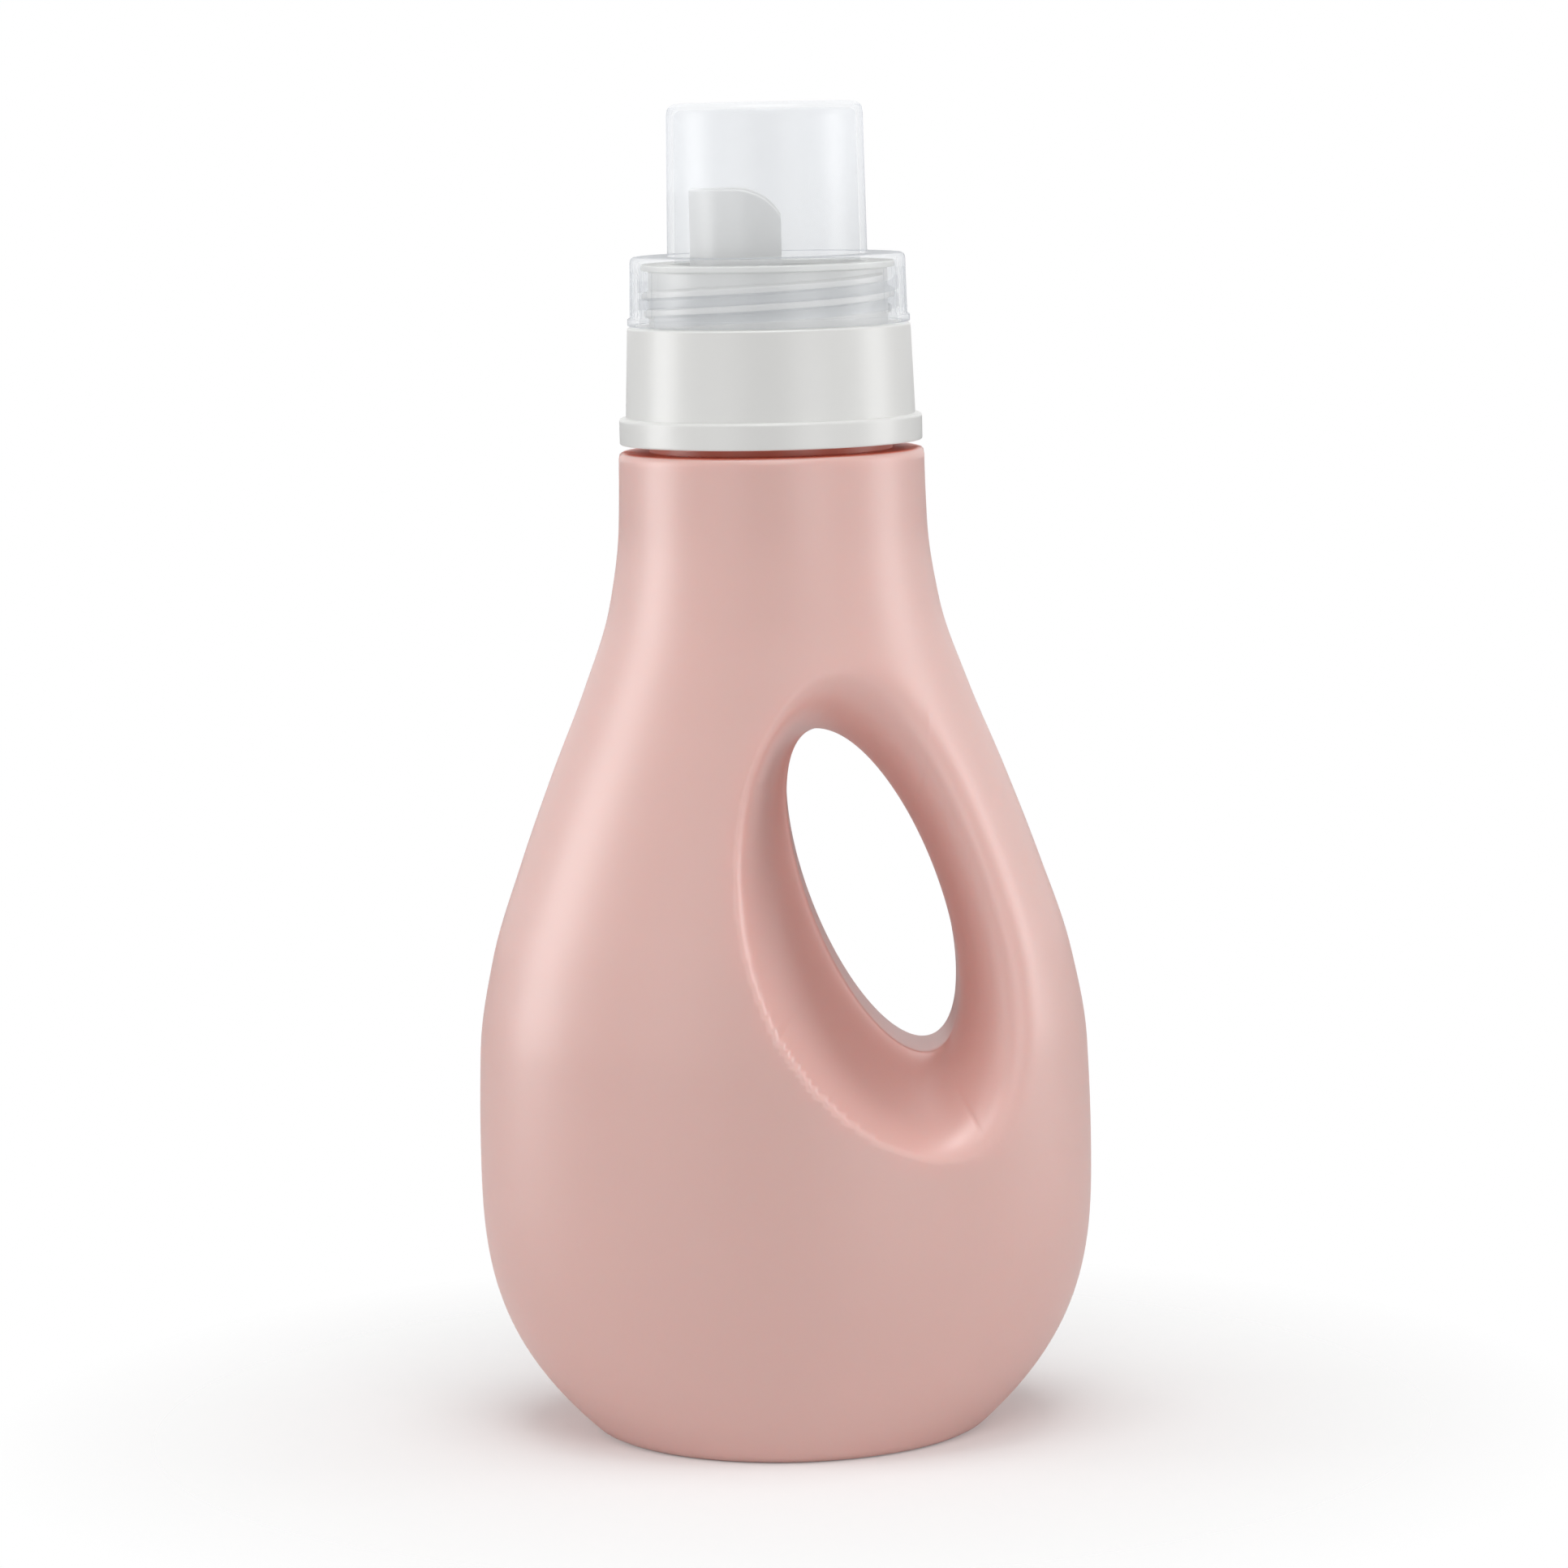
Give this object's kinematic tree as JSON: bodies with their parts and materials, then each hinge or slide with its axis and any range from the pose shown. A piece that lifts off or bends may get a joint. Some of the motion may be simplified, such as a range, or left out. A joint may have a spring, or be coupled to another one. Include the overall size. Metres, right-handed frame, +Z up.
{
  "type": "refillable detergent bottle",
  "caption": "Handled blow-moulded bottle for liquid detergent with a screw-on pouring collar, an upright spout and a translucent measuring cap.",
  "frame": {"origin": "middle of the base, on the surface that the bottle stands on", "axes": "+Z up along the neck, +X from the spout's pouring side towards the handle, +Y from the front face to the back face"},
  "size_m": [0.1036, 0.078, 0.2233],
  "materials": {
    "bottle_body": "matte pink blow-moulded polyethylene",
    "collar": "glossy white polypropylene",
    "cap": "translucent frosted polypropylene",
    "seal": "soft off-white sealing foam"
  },
  "bodies": {
    "bottle": {"bottle": "bottle_body"},
    "gasket": {"neck_gasket": "seal"},
    "collar": {"spout_collar": "collar"},
    "liner": {"cap_liner": "seal"},
    "cap": {"measuring_cap": "cap"}
  },
  "joints": [
    {"name": "collar_rise", "type": "slide", "parent": "bottle", "child": "gasket", "axis": [0, 0, 1], "range_m": [0, 0.0066]},
    {"name": "collar_turn", "type": "hinge", "parent": "gasket", "child": "collar", "pos_m": [0, 0, 0.1765], "axis": [0, 0, 1], "range_deg": [0, 560]},
    {"name": "cap_rise", "type": "slide", "parent": "collar", "child": "liner", "axis": [0, 0, 1], "range_m": [0, 0.0052]},
    {"name": "cap_turn", "type": "hinge", "parent": "liner", "child": "cap", "pos_m": [0, 0, 0.2025], "axis": [0, 0, 1], "range_deg": [0, 315]}
  ],
  "couplings": [
    {"joint": "collar_rise", "follows": "collar_turn", "m_per_rad": 0.00066845},
    {"joint": "cap_rise", "follows": "cap_turn", "m_per_rad": 0.00093901}
  ]
}
